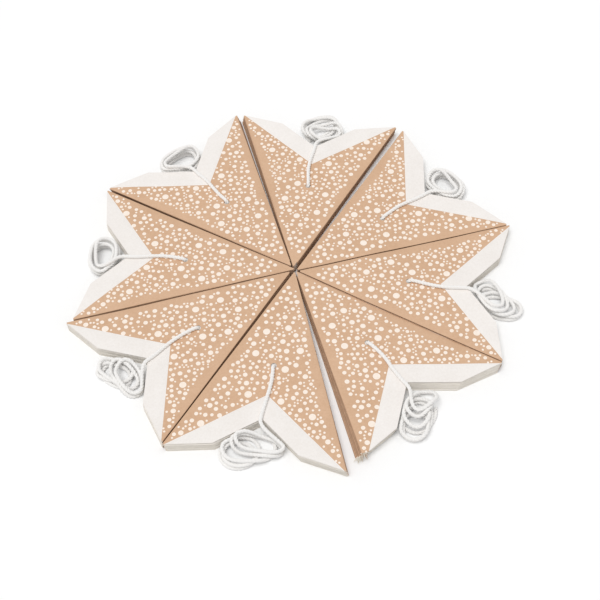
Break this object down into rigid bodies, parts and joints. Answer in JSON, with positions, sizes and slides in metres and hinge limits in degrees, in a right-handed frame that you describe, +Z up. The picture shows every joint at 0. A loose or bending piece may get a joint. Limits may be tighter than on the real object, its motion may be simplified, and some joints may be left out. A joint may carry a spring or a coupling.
{
  "type": "paper star",
  "caption": "Flat eight-pointed star made of folded card stars laid point to point, each a book of glued card rays with a cotton hanging cord.",
  "frame": {"origin": "bottom centre of the box that holds the eight folded stars, on the surface they lie on", "axes": "+Z up, out of the card faces; +Y towards the star's far point, +X to its right"},
  "size_m": [0.2357, 0.2387, 0.0082],
  "materials": {
    "kraft_card": "matt uncoated kraft card, printed with white dots",
    "white_card": "matt white card, the inner side of the kraft card",
    "cotton_cord": "soft twisted white cotton"
  },
  "bodies": {
    "root": {"folded_star_1": "kraft_card", "folded_star_2": "kraft_card", "folded_star_3": "kraft_card", "folded_star_4": "kraft_card", "folded_star_5": "kraft_card", "folded_star_6": "kraft_card", "folded_star_7": "kraft_card", "folded_star_8": "kraft_card", "cord_1": "cotton_cord", "cord_2": "cotton_cord", "cord_3": "cotton_cord", "cord_4": "cotton_cord", "cord_5": "cotton_cord", "cord_6": "cotton_cord", "cord_7": "cotton_cord", "cord_8": "cotton_cord", "cord_hank_1": "cotton_cord", "cord_hank_2": "cotton_cord", "cord_hank_3": "cotton_cord", "cord_hank_4": "cotton_cord", "cord_hank_5": "cotton_cord", "cord_hank_6": "cotton_cord", "cord_hank_7": "cotton_cord", "cord_hank_8": "cotton_cord"}
  },
  "joints": []
}
